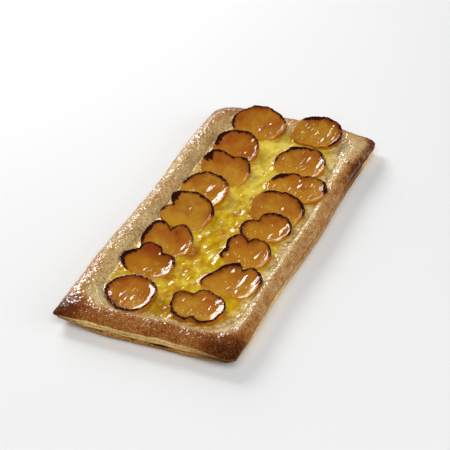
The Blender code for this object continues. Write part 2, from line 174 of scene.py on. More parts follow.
# Thick drops of glaze: (x, y from the half's middle, half width, half length)
DROPS = {
    "L1": [(3.8, -5.7, 0.9, 1.4), (10.3, 2.1, 0.9, 1.2), (-15.7, -5.7, 1.0, 2.2)],
    "L2": [(-12.7, 7.2, 1.2, 3.4), (10.7, 12.2, 1.2, 2.4), (9.2, -1.2, 0.9, 1.3)],
    "L3": [(7.1, 10.0, 0.8, 1.2), (-1.7, -5.9, 0.8, 1.2)],
    "L4": [(5.5, 2.8, 2.1, 2.3), (14.7, 10.7, 1.0, 2.8), (-17.0, 8.5, 1.2, 2.4)],
    "L5": [(1.5, 3.2, 1.2, 2.4), (-14.7, -4.4, 0.9, 2.0), (16.8, 7.5, 1.1, 1.6)],
    "L6": [(14.0, -3.0, 1.0, 2.6)],
    "L7": [(17.6, -4.5, 1.1, 2.8), (1.3, -8.3, 0.8, 1.0)],
    "L8": [(4.5, -3.8, 1.3, 1.4), (-13.1, -8.2, 1.1, 2.8), (-4.9, -2.2, 0.8, 1.4)],
    "R1": [(10.3, 5.6, 1.0, 3.0), (9.0, 0.1, 1.0, 2.8), (-0.2, -0.4, 1.0, 1.6),
           (-11.9, -1.4, 1.1, 2.4), (5.9, -5.0, 1.0, 1.6), (-19.5, -3.5, 1.0, 1.8),
           (-6.4, 6.4, 0.9, 1.6)],
    "R2": [(16.0, 3.3, 1.2, 3.4), (0.8, 2.9, 0.8, 2.4), (5.8, 7.4, 1.0, 2.6),
           (-1.2, 12.4, 0.8, 2.0), (-14.5, 2.6, 0.9, 2.3)],
    "R3": [(1.8, 4.7, 1.1, 1.8), (10.5, 12.0, 0.8, 1.4), (-5.5, -0.2, 0.9, 1.6),
           (-18.7, -0.4, 1.1, 2.0)],
    "R4": [(4.0, 2.8, 1.5, 2.2), (-4.0, -4.1, 0.9, 1.5)],
    "R5": [(13.7, 1.3, 1.3, 3.0), (6.3, -6.3, 1.0, 2.0), (-9.2, 4.0, 0.9, 1.8)],
    "R6": [(10.7, -0.9, 1.2, 2.6), (-8.6, 7.1, 1.5, 1.7), (-10.8, -4.9, 1.2, 2.4)],
    "R7": [(5.0, 1.8, 1.6, 4.4), (-4.8, 8.4, 1.8, 2.0), (14.5, 5.0, 1.0, 2.6),
           (-2.9, -7.4, 1.0, 1.6), (4.6, -8.4, 0.8, 1.8)],
    "R8": [(13.0, 7.0, 1.8, 3.6), (8.9, 1.9, 1.0, 1.8), (-11.4, 2.4, 0.8, 1.6),
           (1.7, 7.9, 0.9, 1.4)],
    "custard": [(9.8, 12.7, 1.9, 3.2), (10.4, 7.2, 1.1, 1.8), (12.9, -14.6, 2.6, 3.0),
                (15.0, -52.3, 2.3, 3.0), (15.6, -57.4, 1.6, 2.2), (-3.5, -24.3, 1.5, 2.8),
                (14.9, 124.1, 1.0, 2.0), (3.8, 114.6, 1.0, 1.8), (3.4, 70.0, 1.1, 1.8),
                (-4.2, 76.1, 0.9, 1.5), (-3.6, -91.9, 1.6, 2.5), (-12.5, -50.3, 1.2, 1.6),
                (14.4, 38.2, 1.1, 1.8), (0.5, -79.7, 0.9, 1.5), (-7.0, -30.6, 1.2, 1.6),
                (-4.5, -66.7, 1.3, 1.9), (0.7, -74.8, 1.1, 1.6), (3.8, -120.6, 1.0, 1.6),
                (6.5, -94.0, 1.2, 1.6), (13.5, -81.7, 1.0, 1.4), (6.5, 67.8, 1.3, 1.7),
                (-0.1, 32.1, 1.2, 1.8), (-2.9, 50.9, 1.1, 1.6), (-4.0, 116.1, 0.9, 1.8),
                (4.5, 121.3, 0.8, 1.8), (-5.4, 94.1, 1.1, 1.6), (6.1, 42.2, 1.2, 1.8),
                (5.0, 9.7, 1.2, 1.6), (0.0, -7.3, 1.1, 1.7), (-2.4, 82.0, 1.0, 1.5),
                (1.5, -41.6, 1.2, 1.6)],
}
# Browned patches of the custard: (x, y, size)
BROWN_PATCHES = [(6.5, -18.0, 5.0), (5.0, 8.0, 3.5), (-4.5, -45.0, 4.0), (-4.5, -54.0, 5.5),
                 (-9.0, -84.0, 4.5), (-1.0, -70.0, 4.0), (-2.0, -104.0, 4.0), (8.0, 32.0, 3.0),
                 (4.0, -120.0, 3.5), (-8.0, 60.0, 3.0)]
# Reliefs and mottling, as layers of noise: (height, size in mm, seed)
RIM_CRINKLE = [(0.42, 1.3, 3), (0.34, 0.7, 4)]
RIM_CURL = [(0.6, 1.6, 5), (0.5, 0.8, 6)]
FACE_SWELL = [(0.22, (8.0, 8.0, 30.0), 11), (0.07, (3.0, 3.0, 9.0), 12)]
FACE_RIPPLE = [(1.0, (1.9, 4.6, 1.0), 13), (0.25, (1.1, 2.4, 1.0), 17)]
RIPENESS = [(0.5, (15.0, 15.0, 40.0), 15), (0.25, (5.0, 5.0, 10.0), 16)]
LEAVES = [(0.55, (16.0, 16.0, 0.95), 22), (0.35, (7.0, 7.0, 0.5), 23)]
CRUST_PUFFS = [(0.34, 5.5, 25), (0.28, 2.3, 26), (0.20, 1.4, 27)]
UNEVEN_BAKE = [(0.08, 17.0, 31), (0.05, 6.0, 32)]
CUSTARD_RIPPLES = [(0.34, 5.0, 41), (0.10, 2.2, 42)]
CUSTARD_BROWNING = [(0.7, (6.5, 10.0, 5.0), 46), (0.5, (3.0, 4.5, 5.0), 47)]
CUSTARD_MILK = [(0.8, (5.0, 9.0, 5.0), 49), (0.5, (2.0, 3.2, 5.0), 51)]
# Parts of the border: (start, length) from the middle outward
LONG_BORDER = (44.0, 10.0)
NEAR_BORDER = (122.0, 14.0)
FAR_BORDER = (128.0, 12.0)
NEAR_STRETCH = (60.0, 90.0)
FAR_STRETCH = (60.0, 60.0)
# Spots of the border: (x, y, reach), and how much browner or wetter
BROWNER_CORNERS = [((-70.0, -152.0, 30.0), 0.30), ((70.0, -150.0, 38.0), 0.32),
                   ((-70.0, 150.0, 44.0), 0.14)]
FAR_RIGHT_CORNER = (70.0, 150.0, 30.0)
NEAR_TIPS = [(70.0, -154.0, 44.0), (-70.0, -154.0, 26.0)]
BLISTERED_SPOT = (52.0, 112.0, 40.0)
WETTER_SPOTS = [((-64.0, -126.0, 26.0), 0.8), (BLISTERED_SPOT, 0.7)]
# How far a half reaches from its middle, and how far below the cut faces the crust
# and the custard stay
FRUIT_REACH = 34.0
CRUST_CLEARANCE = 0.5
CUSTARD_CLEARANCE = 0.9
# The custard's wall below its edge: (distance in from the tart's edge, height)
CUSTARD_WALL = [(29.0, FLOOR_HEIGHT + 0.4), (25.5, 7.5), (22.6, 9.2), (20.4, 10.8)]
# Drops run along this direction; each shines on the flank toward the key light, so its
# ridge lies this far beyond the shine, in half widths
DROP_RUN = (0.208, 0.978)
DROP_BEYOND = (0.62, 0.40)
DROP_STEEPNESS = 0.62


def rgb(red, green, blue):
    """A colour given as 0 to 255 on a screen, in linear light."""
    channels = []
    for value in (red, green, blue):
        value /= 255.0
        channels.append(value / 12.92 if value <= 0.04045 else ((value + 0.055) / 1.055) ** 2.4)
    return (*channels, 1.0)


def step(value):
    """0 below 0, 1 above 1, and a smooth rise between, for numbers and arrays."""
    value = np.clip(value, 0.0, 1.0)
    return value * value * (3.0 - 2.0 * value)


def lumps(points, size, seed):
    """Smooth noise, about -1 to 1, with lumps of the given size in mm (one or three)."""
    places = np.asarray(points, float) / size + np.array([seed * 1.7, seed * 3.1, seed * 5.3])
    return np.array([noise.noise(place) for place in places.tolist()])


def relief(points, layers):
    """A sum of smooth noises, for layers of (height, size, seed)."""
    return sum(height * lumps(points, size, seed) for height, size, seed in layers)


def blisters(points, size, seed):
    """Round bumps from 0 to 1, one to a cell of the given size in mm."""
    places = np.asarray(points, float) / size + seed * 2.3
    near = np.array([noise.voronoi(place)[0][0] for place in places.tolist()])
    return step(1.0 - near / 0.55)


def corner_name(x, y):
    return ("near_" if y < 0 else "far_") + ("left" if x < 0 else "right")


def side_inset(inset, side):
    if inset < NOMINAL_BORDER:
        return inset * BORDER[side] / NOMINAL_BORDER
    return inset - NOMINAL_BORDER + BORDER[side]


def outline(inset):
    """Points round the tart at a distance in from its edge, anticlockwise."""
    share = float(step(inset / NOMINAL_BORDER))
    right = HALF_WIDTH - side_inset(inset, "right")
    left = side_inset(inset, "left") - HALF_WIDTH
    far = HALF_LENGTH - side_inset(inset, "far")
    near = side_inset(inset, "near") - HALF_LENGTH
    arcs = []
    quarter = np.linspace(0.0, math.pi / 2, CORNER_STEPS + 1)
    for x, y, start in [(right, near, -90), (right, far, 0), (left, far, 90), (left, near, 180)]:
        name = corner_name(-1 if start in (90, 180) else 1, y)
        outer = OUTER_RADII[name]
        radius = min(outer + (INNER_RADIUS - outer) * share, (right - left) / 2)
        side = -1.0 if start in (90, 180) else 1.0
        angle = math.radians(start) + quarter
        arcs.append(np.column_stack((x - side * radius + radius * np.cos(angle),
                                     y - math.copysign(radius, y) + radius * np.sin(angle))))
    parts = []
    for index, arc in enumerate(arcs):
        parts.append(arc)
        steps = LONG_STEPS if index % 2 == 0 else SHORT_STEPS
        along = (np.arange(1, steps) / steps)[:, None]
        parts.append(arc[-1] * (1.0 - along) + arcs[(index + 1) % 4][0] * along)
    return np.vstack(parts)


def rise(value, over):
    """0 before the start of a range, 1 after it, for a range of (start, length)."""
    start, length = over
    return step((value - start) / length)


def flat_noise(x, y, lump):
    """The part's noise in plan, for lumps of (height, length, seed)."""
    height, length, seed = lump
    pairs = zip((x / length).tolist(), (y / length).tolist())
    return height * np.array([noise.noise((u, v, seed)) for u, v in pairs])


def baked_plan(x, y):
    along = y / HALF_LENGTH
    across = x / HALF_WIDTH
    x = x + np.where(x < 0, SIDE_HOLLOW * np.cos(along * math.pi / 2) ** 2 * -across, 0.0)
    y = y - step(-along) * (NEAR_BULGE - NEAR_BULGE_SKEW * across)
    x = x + LONG_WAVE[0] * np.sin(y / LONG_WAVE[1] + WAVE_START) * across * across
    y = y + SHORT_WAVE[0] * np.sin(x / SHORT_WAVE[1]) * along * along
    return x, y


def baked_height(x, y, inset, z):
    side_x = np.copysign(HALF_WIDTH, x)
    side_y = np.copysign(HALF_LENGTH, y)
    corner = step(1.0 - np.hypot(side_x - x, side_y - y) / LIFT_REACH)
    edge = step(1.0 - inset / UNDERSIDE[0][0])
    lift = np.where(y < 0, np.where(x < 0, CORNER_LIFT["near_left"], CORNER_LIFT["near_right"]),
                    np.where(x < 0, CORNER_LIFT["far_left"], CORNER_LIFT["far_right"]))
    low = z + lift * corner ** 1.5 * edge * (1.0 - z / CORNER_EDGE_HEIGHT)
    high = z - (z - CORNER_EDGE_HEIGHT) * CORNER_THINNING * corner ** 2 * edge
    height = np.where(z < CORNER_EDGE_HEIGHT, low, high)
    puff = flat_noise(x, y, LARGE_PUFF) + flat_noise(x, y, SMALL_PUFF)
    return height + rise(height, CRUST_FROM) * puff


def side_ring(inset, z):
    x, y = outline(inset).T
    height = np.zeros_like(x) if z == 0.0 else baked_height(x, y, inset, z)
    straight = rise(x, STRAIGHT_ACROSS) * rise(y, STRAIGHT_ALONG)
    x, y = baked_plan(x + RIGHT_SIDE_STRAIGHTENING * straight * side_inset(inset, "right"), y)
    return np.column_stack((x, y, height))


def top_ring(inset, z):
    sway = step(inset / NOMINAL_BORDER)
    x, y = outline(inset).T
    height = baked_height(x, y, inset, z) if z > FLOOR_HEIGHT else np.full_like(x, z)
    shift = sway * flat_noise(x, y, BORDER_SWAY)
    length = np.maximum(np.hypot(x / HALF_WIDTH, y / HALF_LENGTH), 0.05)
    widening = rise(x, WIDE_ACROSS) * rise(y, WIDE_ALONG)
    new_x = x - shift * x / HALF_WIDTH / length - FAR_RIGHT_WIDENING * sway * widening
    new_y = y - shift * y / HALF_LENGTH / length
    return np.column_stack((*baked_plan(new_x, new_y), height))


def smooth_path(knots, spacing):
    """Points along a smooth curve through the knots, and where each lies among them."""
    knots = [np.array(knot, float) for knot in knots]
    ends = [2 * knots[0] - knots[1]] + knots + [2 * knots[-1] - knots[-2]]
    path, places = [], []
    for i in range(len(knots) - 1):
        a, b, c, d = ends[i:i + 4]
        count = max(1, round(float(np.linalg.norm(c - b)) / spacing[min(i, len(spacing) - 1)]))
        for t in np.arange(count) / count:
            path.append(0.5 * (2 * b + (c - a) * t + (2 * a - 5 * b + 4 * c - d) * t * t
                               + (3 * b - a - 3 * c + d) * t ** 3))
            places.append(i + t)
    path.append(knots[-1])
    places.append(len(knots) - 1.0)
    return np.array(path), np.array(places)


def grid_normals(grid):
    """Outward directions on a stack of closed rings, anticlockwise and going up."""
    along = np.roll(grid, -1, axis=1) - np.roll(grid, 1, axis=1)
    up = np.empty_like(grid)
    up[1:-1] = grid[2:] - grid[:-2]
    up[0] = grid[1] - grid[0]
    up[-1] = grid[-1] - grid[-2]
    normals = np.cross(along, up)
    return normals / np.maximum(np.linalg.norm(normals, axis=2, keepdims=True), 1e-9)


def closed_mesh(name, grid, attributes):
    """A mesh skinned over a stack of closed rings (in mm), with a fan over each end."""
    rows, count = grid.shape[:2]
    points = grid.reshape(-1, 3)
    low = grid[0].mean(axis=0)
    high = grid[-1].mean(axis=0)
    points = np.vstack((points, low, high)) * MM
    index = np.arange(rows * count).reshape(rows, count)
    turned = np.roll(index, -1, axis=1)
    quads = np.stack((index[:-1], turned[:-1], turned[1:], index[1:]), axis=-1).reshape(-1, 4)
    faces = quads.tolist()
    for i in range(count):
        j = (i + 1) % count
        faces.append([rows * count, j, i])
        faces.append([rows * count + 1, (rows - 1) * count + i, (rows - 1) * count + j])
    mesh = bpy.data.meshes.new(name)
    mesh.from_pydata(points.tolist(), [], faces)
    mesh.shade_smooth()
    for key, values in attributes.items():
        values = values.reshape(rows, count)
        flat = np.concatenate((values.ravel(), [values[0].mean(), values[-1].mean()]))
        layer = mesh.attributes.new(key, "FLOAT", "POINT")
        layer.data.foreach_set("value", flat.astype(np.float32))
    thing = bpy.data.objects.new(name, mesh)
    bpy.context.scene.collection.objects.link(thing)
    return thing


def drop_heights(plan, drops, middle):
    """Height of the glaze drops at points in plan."""
    run = np.array(DROP_RUN)
    cross = np.array((run[1], -run[0]))
    height = np.zeros(len(plan))
    for x, y, half_width, half_length in drops:
        ridge = np.array((x, y)) + middle + np.array(DROP_BEYOND) * half_width
        away = plan - ridge
        across = (away @ cross) / half_width
        along = (away @ run) / half_length
        height += DROP_STEEPNESS * half_width * np.exp(-0.5 * (across ** 2 + along ** 2))
    return height


# ---------------- apricot geometry

def away_from(angle, direction):
    """Degrees from a direction, -180 to 180."""
    return (np.degrees(angle) - direction + 180.0) % 360.0 - 180.0


def near_direction(angle, direction, spread):
    """1 in a direction, fading over a spread in degrees."""
    return np.exp(-0.5 * (away_from(angle, direction) / spread) ** 2)


def rotation_of(spec):
    turn, tilt, roll = spec[3]
    turned = Euler((math.radians(tilt), -math.radians(roll), 0.0)).to_matrix()
    return np.array(turned @ Matrix.Rotation(math.radians(turn), 3, "Z"))


def rim_radius(angle, size, dents, wobble):
    across = np.abs(np.cos(angle) / size[0]) ** OUTLINE_POWER
    along = np.abs(np.sin(angle) / size[1]) ** OUTLINE_POWER
    radius = (across + along) ** (-1.0 / OUTLINE_POWER)
    for direction, depth, spread in dents:
        radius = radius * (1.0 - depth * near_direction(angle, direction, spread))
    for waves, height, start in RIM_WAVES:
        radius = radius + height * np.sin(waves * angle + start * wobble)
    return radius


def place_fruit(key, number):
    """Rotation and middle of a half, its lowest rim set at its height."""
    place, rim_height, size, _, dents = FRUIT[key]
    rotation = rotation_of(FRUIT[key])
    angle = np.linspace(-math.pi, math.pi, 721)
    radius = rim_radius(angle, size, dents, WOBBLE_STEP * number)
    rim = np.column_stack((radius * np.cos(angle), radius * np.sin(angle), 0 * angle))
    lowest = (rim @ rotation.T)[:, 2].min()
    return rotation, np.array([place[0], place[1], rim_height - lowest])


PLACED = {key: place_fruit(key, number) for number, key in enumerate(FRUIT)}
FACE_RADIUS = np.array([point[0] for point in FRUIT_SECTION[:5]])
FACE_HEIGHT = np.array([point[1] for point in FRUIT_SECTION[:5]])


def fruit_frame(key, points):
    """Points as share of the rim's radius and height above the cut face's plane."""
    number = list(FRUIT).index(key)
    rotation, centre = PLACED[key]
    local = (points - centre) @ rotation
    angle = np.arctan2(local[:, 1], local[:, 0])
    rim = rim_radius(angle, FRUIT[key][2], FRUIT[key][4], WOBBLE_STEP * number)
    return np.hypot(local[:, 0], local[:, 1]) / rim, local[:, 2]


def tuck_under_fruits(points, keys, margin):
    """Lower what would come up through a cut face to below it."""
    points = points.copy()
    for key in keys:
        rotation, centre = PLACED[key]
        near = np.hypot(points[:, 0] - centre[0], points[:, 1] - centre[1]) < FRUIT_REACH
        chosen = np.flatnonzero(near)
        share, height = fruit_frame(key, points[chosen])
        ceiling = np.interp(share, FACE_RADIUS, FACE_HEIGHT) - margin
        excess = np.where(share < 1.0, np.clip(height - ceiling, 0.0, None), 0.0)
        excess *= step((1.0 - share) / 0.04)
        points[chosen] -= excess[:, None] * rotation[:, 2]
    return points


def char_widths(key, angle, circle):
    """Width of the char and of the scorched flesh inside it, round the rim."""
    begin, end = CHARRED[key]
    middle = (begin + end) / 2
    inside = (end - begin) / 2 - np.abs(away_from(angle, middle))
    burnt = np.ones_like(angle) if end - begin >= 360 else step(inside / 16.0 + 0.5)
    char = CHAR_LINE * (1.0 + 2.0 * lumps(circle, 1.1, 8))
    scorch = SCORCH_LINE * (1.0 + 0.8 * lumps(circle, 2.0, 10))
    extra = 1.9 * np.clip(lumps(circle, 1.5, 7) - 0.16, 0.0, 1.0)
    for direction, spread, more_char, more_scorch in CHAR[key]:
        here = near_direction(angle, direction, spread)
        extra = extra + more_char * here * (1.0 + 0.8 * lumps(circle, 1.0, 9))
        scorch = scorch + more_scorch * here
    extra = np.clip(extra, 0.0, None)
    return burnt, np.clip(char, 0.1, None) + extra, scorch, extra


def scoop_share(scoop, angle):
    """1 in the directions of the long slope, 0 away from them."""
    direction, spread = scoop[3:]
    return step(2.0 - np.abs(away_from(angle, direction)) / spread)


def scooped_face(scoop, share, angle, rim):
    """Heights of a cut face with a flat floor, steep all round but for one long slope."""
    floor_height, slope, start = scoop[:3]
    crest = FRUIT_SECTION[3][1]
    steep = floor_height + (crest - floor_height) * step((share - 0.84) / 0.12)
    even = floor_height + slope * rim * np.clip(share - start, 0.0, None)
    even = even + (crest - even) * step((share - 0.91) / 0.05)
    return steep + (even - steep) * scoop_share(scoop, angle)


def build_apricot(key, number):
    size, dents = FRUIT[key][2], FRUIT[key][4]
    rotation, centre = PLACED[key]
    knots = [(share * SECTION_WIDTH, height) for share, height in reversed(FRUIT_SECTION)]
    section, _ = smooth_path(knots, [1.6, 1.0, 0.6, 0.2, 0.25, 0.4, 0.45])
    section = section[1:-1]
    share = section[:, 0] / SECTION_WIDTH
    level = section[:, 1]
    crest = int(np.argmax(level))
    rows = len(share)
    face = (np.arange(rows) >= crest).astype(float)

    angle = np.linspace(0.0, 2.0 * math.pi, FRUIT_SEGMENTS, endpoint=False)
    for direction, _, spread in dents:
        pull = DENT_PULL * away_from(angle, direction)
        here = near_direction(angle, direction, DENT_PULL_REACH * spread)
        angle = angle - np.radians(pull * here)
    rim = rim_radius(angle, size, dents, WOBBLE_STEP * number)
    circle = np.column_stack((9.0 * np.cos(angle), 9.0 * np.sin(angle), 0 * angle + number))
    burnt, char_width, scorch_width, lump = char_widths(key, angle, circle)

    rim_points = np.column_stack((rim * np.cos(angle), rim * np.sin(angle), 0 * angle))
    rim_world = (rim_points @ rotation.T)[:, 2] + centre[2]
    raised = rise(rim_world, RAISED_RIM)
    crinkle = relief(circle, RIM_CRINKLE)
    curl = relief(circle, RIM_CURL)

    radius = share[:, None] * rim[None, :]
    height = np.repeat(level[:, None], FRUIT_SEGMENTS, axis=1)
    if key in SCOOPED:
        scoop = scooped_face(SCOOPED[key], share[:, None], angle[None, :], rim[None, :])
        inside = (face * (share < CREST_SHARE))[:, None] > 0
        height = np.where(inside, scoop, height)
    lip = np.exp(-((share[:, None] - CREST_SHARE) / 0.030) ** 2)
    radius = radius + crinkle * step((share[:, None] - 0.82) / 0.12) * (0.35 + 0.65 * raised)
    height = height + lip * (raised * 0.7 * curl + 0.16 * lump * burnt)
    height = height - (1.0 - raised) * lip * 0.85

    points = np.stack((radius * np.cos(angle), radius * np.sin(angle), height), axis=-1)
    points = points.reshape(-1, 3)
    on_face = np.repeat(face, FRUIT_SEGMENTS)
    shares = np.repeat(share, FRUIT_SEGMENTS)
    inner = on_face * step((0.97 - shares) / 0.12)
    seeded = points + np.array([number * 61.0, 0.0, 0.0])
    run = np.array(DROP_RUN)
    rippled = np.column_stack((points[:, :2] @ np.array((run[1], -run[0])),
                               points[:, :2] @ run, np.full(len(points), number * 7.0)))
    ripple = relief(rippled, FACE_RIPPLE)
    ripples = RIPPLES.get(key, LEAST_RIPPLES) * step((0.86 - shares) / 0.18)
    patchy = step(0.3 + 2.4 * lumps(seeded, (6.0, 6.0, 30.0), 18))
    swell = relief(seeded, FACE_SWELL)
    swell = swell + ripples * (0.15 + 0.85 * patchy) * np.clip(ripple, -0.1, 1.0)
    if key in SCOOPED:
        inner = inner * (1.0 - 0.9 * scoop_share(SCOOPED[key], angle)[None, :]
                         * step((share - 0.55) / 0.2)[:, None]).ravel()
    points[:, 2] += inner * swell
    pucker = 0.22 * lumps(seeded, (3.0, 3.0, 4.5), 14) * (1.0 - on_face)
    points[:, :2] *= (1.0 + pucker / np.maximum(np.hypot(points[:, 0], points[:, 1]), 4.0))[:, None]

    world = points @ rotation.T + centre
    drops = drop_heights(world[:, :2], DROPS[key], centre[:2])
    world += (inner * drops)[:, None] * rotation[:, 2]
    above = world[:, 2] - RESTING_HEIGHT
    rest = RESTING_SOFTNESS * np.exp((above - RESTING_SOFTNESS) / RESTING_SOFTNESS)
    world[:, 2] = np.where(above < RESTING_SOFTNESS, RESTING_HEIGHT + rest, world[:, 2])
    world[:, :2] += PLAN_SHIFT

    inward = np.clip(CREST_SHARE - share, 0.0, None)[:, None] * rim[None, :]
    down = (level[crest] - level)[:, None]
    reach = np.where(face[:, None] > 0, inward, down * 1.1)
    char = step((char_width - reach) / 0.8 + 0.5) * burnt
    scorch = step(1.0 - reach / (scorch_width + char_width)) * burnt
    ripe = 0.5 + relief(seeded, RIPENESS)
    toward_far = step((world[:, 1] - centre[1] - PLAN_SHIFT[1]) / 34.0 + 0.5)
    ripe = np.clip(ripe * 0.7 + 0.25 * toward_far + DEEPER.get(key, 0.0), 0.0, 1.0)
    rim_side = near_direction(angle, -25.0, 50.0) * step((share[:, None] - 0.68) / 0.1)
    attributes = {
        "char": char, "scorch": scorch, "ripe": ripe, "skin": 1.0 - on_face,
        "thin": THIN_GLAZE.get(key, 0.0) * rim_side,
        "low": step((16.4 - world[:, 2]) / 3.4) * (0.5 + 0.5 * (1.0 - on_face)),
        "beaded": step((centre[1] + PLAN_SHIFT[1] + 3.0 - world[:, 1]) / 6.0)
                  * step((0.93 - shares) / 0.1) * on_face
                  * step(0.5 + 1.4 * lumps(seeded, (7.0, 7.0, 20.0), 19)),
    }
    grid = world.reshape(rows, FRUIT_SEGMENTS, 3)
    return closed_mesh("apricot_half_" + key, grid, attributes), grid


# ---------------- pastry geometry

def patch(x, y, spot):
    """1 at a spot, fading to 0 at its reach, for a spot of (x, y, reach)."""
    spot_x, spot_y, reach = spot
    return step(1.0 - np.hypot(x - spot_x, y - spot_y) / reach)


def baked_colour(points, inset):
    """How brown the crust is, from 0 (pale) to 1 (burnt)."""
    x, y = points[:, 0], points[:, 1]
    right = rise(x, LONG_BORDER)
    left = rise(-x, LONG_BORDER)
    near = rise(-y, NEAR_BORDER)
    far = rise(y, FAR_BORDER)
    toward_near = rise(-y, NEAR_STRETCH)
    toward_far = rise(y, FAR_STRETCH)
    outer = step((7.0 - inset) / 6.0)
    bake = 0.34 + left * (0.15 * toward_near - 0.03) + right * (0.03 + 0.08 * toward_near)
    bake = np.maximum(bake + 0.08 * far, 0.63 * near)
    for spot, browner in BROWNER_CORNERS:
        bake = bake + browner * patch(x, y, spot)
    bake = bake + 0.22 * patch(x, y, FAR_RIGHT_CORNER) * step((14.0 - inset) / 12.0)
    bake = bake + 0.10 * left * toward_far
    bake = bake + 0.34 * right * toward_far * outer - 0.20 * right * toward_far * (1.0 - outer)
    bake = bake + 0.08 * right * (1.0 - toward_far) * step((9.0 - inset) / 6.0)
    bake = bake + 0.30 * right * step(1.0 - np.abs(y - 98.0) / 40.0) * step((12.0 - inset) / 6.0)
    blurred = inset + 3.5 * right * (1.0 - near) * lumps(points, 4.0, 39)
    bake = bake * (1.0 - (0.78 - 0.30 * left) * step((blurred - 9.5) / 7.0))
    return bake + relief(points, UNEVEN_BAKE) + 0.14 * right * (1.0 - near) * lumps(points, 5.0, 38)


def glazed(points, inset):
    """Where the crust glitters with glaze."""
    x, y = points[:, 0], points[:, 1]
    left = step((-x - 42.0) / 12.0)
    near = rise(-y, NEAR_BORDER)
    wet = 0.42 + 0.12 * left * (1.0 - near) - 0.20 * near
    for spot, wetter in WETTER_SPOTS:
        wet = wet + wetter * patch(x, y, spot)
    inner = step((inset - 9.0) / 5.0)
    wet = wet + 0.3 * inner * left
    right = step((x - 40.0) / 10.0)
    wet = wet + 1.0 * inner * near + inner * right * (0.35 + 0.25 * step((y - 20.0) / 60.0))
    return np.clip(wet + 0.5 * lumps(points, 16.0, 35), 0.0, 1.0)


def build_pastry():
    knots = UNDERSIDE + LAYERED_SIDE + CRUST_TOP + INNER_SLOPE
    spacing = [2.0] + [0.42] * 6 + [0.6] * 6 + [1.0, 1.6, 2.0, 2.0]
    section, places = smooth_path(knots, spacing)
    edge_place = len(UNDERSIDE) + len(LAYERED_SIDE)
    rings = []
    for (inset, z), place in zip(section, places):
        inset = max(float(inset), 0.0)
        z = max(float(z), 0.0)
        rings.append(side_ring(inset, z) if place < edge_place else top_ring(inset, z))
    grid = np.array(rings)
    rows, count = grid.shape[:2]
    points = grid.reshape(-1, 3)
    normals = grid_normals(grid).reshape(-1, 3)
    inset = np.repeat(section[:, 0], count)
    level = np.repeat(section[:, 1], count)
    place = np.repeat(places, count)

    side = step((place - 1.0) / 0.6) * step((edge_place + 0.2 - place) / 0.9)
    crust = step((place - edge_place + 0.8) / 0.9)
    leafed = np.column_stack((points[:, 0], points[:, 1], level + 0.7 * lumps(points, 26.0, 21)))
    layers = relief(leafed, LEAVES)
    flakes = 0.35 * lumps(points, (9.0, 9.0, 2.0), 24)
    puff = relief(points, CRUST_PUFFS)
    far_right = patch(points[:, 0], points[:, 1], BLISTERED_SPOT)
    bubbles = (0.55 * blisters(points, 9.0, 28) * step(lumps(points, 22.0, 29) * 2.5)
               + 0.30 * blisters(points, 3.0, 30) + 1.3 * far_right * blisters(points, 5.0, 37))
    left_inner = step((-points[:, 0] - 38.0) / 8.0) * step((inset - 5.0) / 4.0)
    bubbles = bubbles + 0.6 * left_inner * blisters(points, 2.8, 40)
    # One gap between the leaves is wide open, right of the near side's middle; it is sunk in and
    # painted dark as the shade inside it
    split_and_shade = (step((points[:, 0] - 2.0) / 10.0) * step((26.0 - points[:, 0]) / 10.0)
             * step((-points[:, 1] - 140.0) / 5.0))
    split_and_shade = split_and_shade * np.exp(-((level - 5.2 - 0.5 * lumps(points, 9.0, 36)) / 0.6) ** 2)
    offset = side * (layers * 0.8 + flakes) + crust * (puff + bubbles) - 1.6 * split_and_shade
    points = points + normals * offset[:, None] * step((place - 0.5) / 0.8)[:, None]
    cut = tuck_under_fruits(points, FRUIT, CRUST_CLEARANCE)
    points = np.where((place > edge_place)[:, None], cut, points)
    points[:, :2] += PLAN_SHIFT
    points[:, 2] = np.clip(points[:, 2], 0.0, None)

    # The opened layers: pale above the groove, browner below it
    x, y = points[:, 0], points[:, 1]
    on_right = step((x - 50.0) / 15.0) * (1.0 - step((-y - 147.0) / 4.0))
    top_of_pale = 12.2 - 5.4 * on_right
    top_of_pale = top_of_pale + 0.9 * lumps(points, 14.0, 33)
    tips = sum(patch(x, y, spot) for spot in NEAR_TIPS)
    pale = step((top_of_pale - level) / 0.9) * step((edge_place + 1.6 - place) / 0.6)
    pale = pale * (1.0 - 0.85 * np.clip(tips, 0.0, 1.0))
    pale = pale * (1.0 - 0.5 * step((x - 16.0) / 34.0) * step((-y - 140.0) / 8.0))
    pale = pale * (1.0 - 0.8 * step((x - 50.0) / 10.0) * step((y + 70.0) / 60.0)
                   * step((130.0 - y) / 20.0))
    under = step((5.7 + 0.9 * lumps(points, 14.0, 34) - level) / 0.7)
    under = under * (1.0 - step((x - 58.0) / 6.0))
    # The hollows between the leaves, and the open gap, are painted darker: painted shade in the
    # recesses
    crease = np.maximum(step((0.10 - layers) / 0.5) * side * (1.0 - 0.6 * on_right), split_and_shade)
    attributes = {
        "bake": np.clip(baked_colour(points, inset), 0.0, 1.0),
        "pale": pale,
        "under": under * pale,
        "crease": crease,
        "split_and_shade": split_and_shade,
        "wet": crust * glazed(points, inset),
        "speckled": step((x * -1.0 - 30.0) / 20.0) * step((y + 135.0) / 20.0)
                    + 0.5 * step((x - 40.0) / 10.0),
    }
    return closed_mesh("pastry_baked", points.reshape(rows, count, 3), attributes)


# ---------------- custard geometry

def distance_to_fruits(spots, fruit_grids):
    """Distance in plan to where the halves come out of the custard."""
    contact = []
    for world in fruit_grids.values():
        shell = world.reshape(-1, 3)
        contact.append(shell[np.abs(shell[:, 2] - WATERLINE) < 0.8][::2])
    contact = np.vstack(contact)
    tree = kdtree.KDTree(len(contact))
    for number, spot in enumerate(contact.tolist()):
        tree.insert((spot[0], spot[1], 0.0), number)
    tree.balance()
    return np.array([tree.find((x, y, 0.0))[2] for x, y in spots.tolist()])


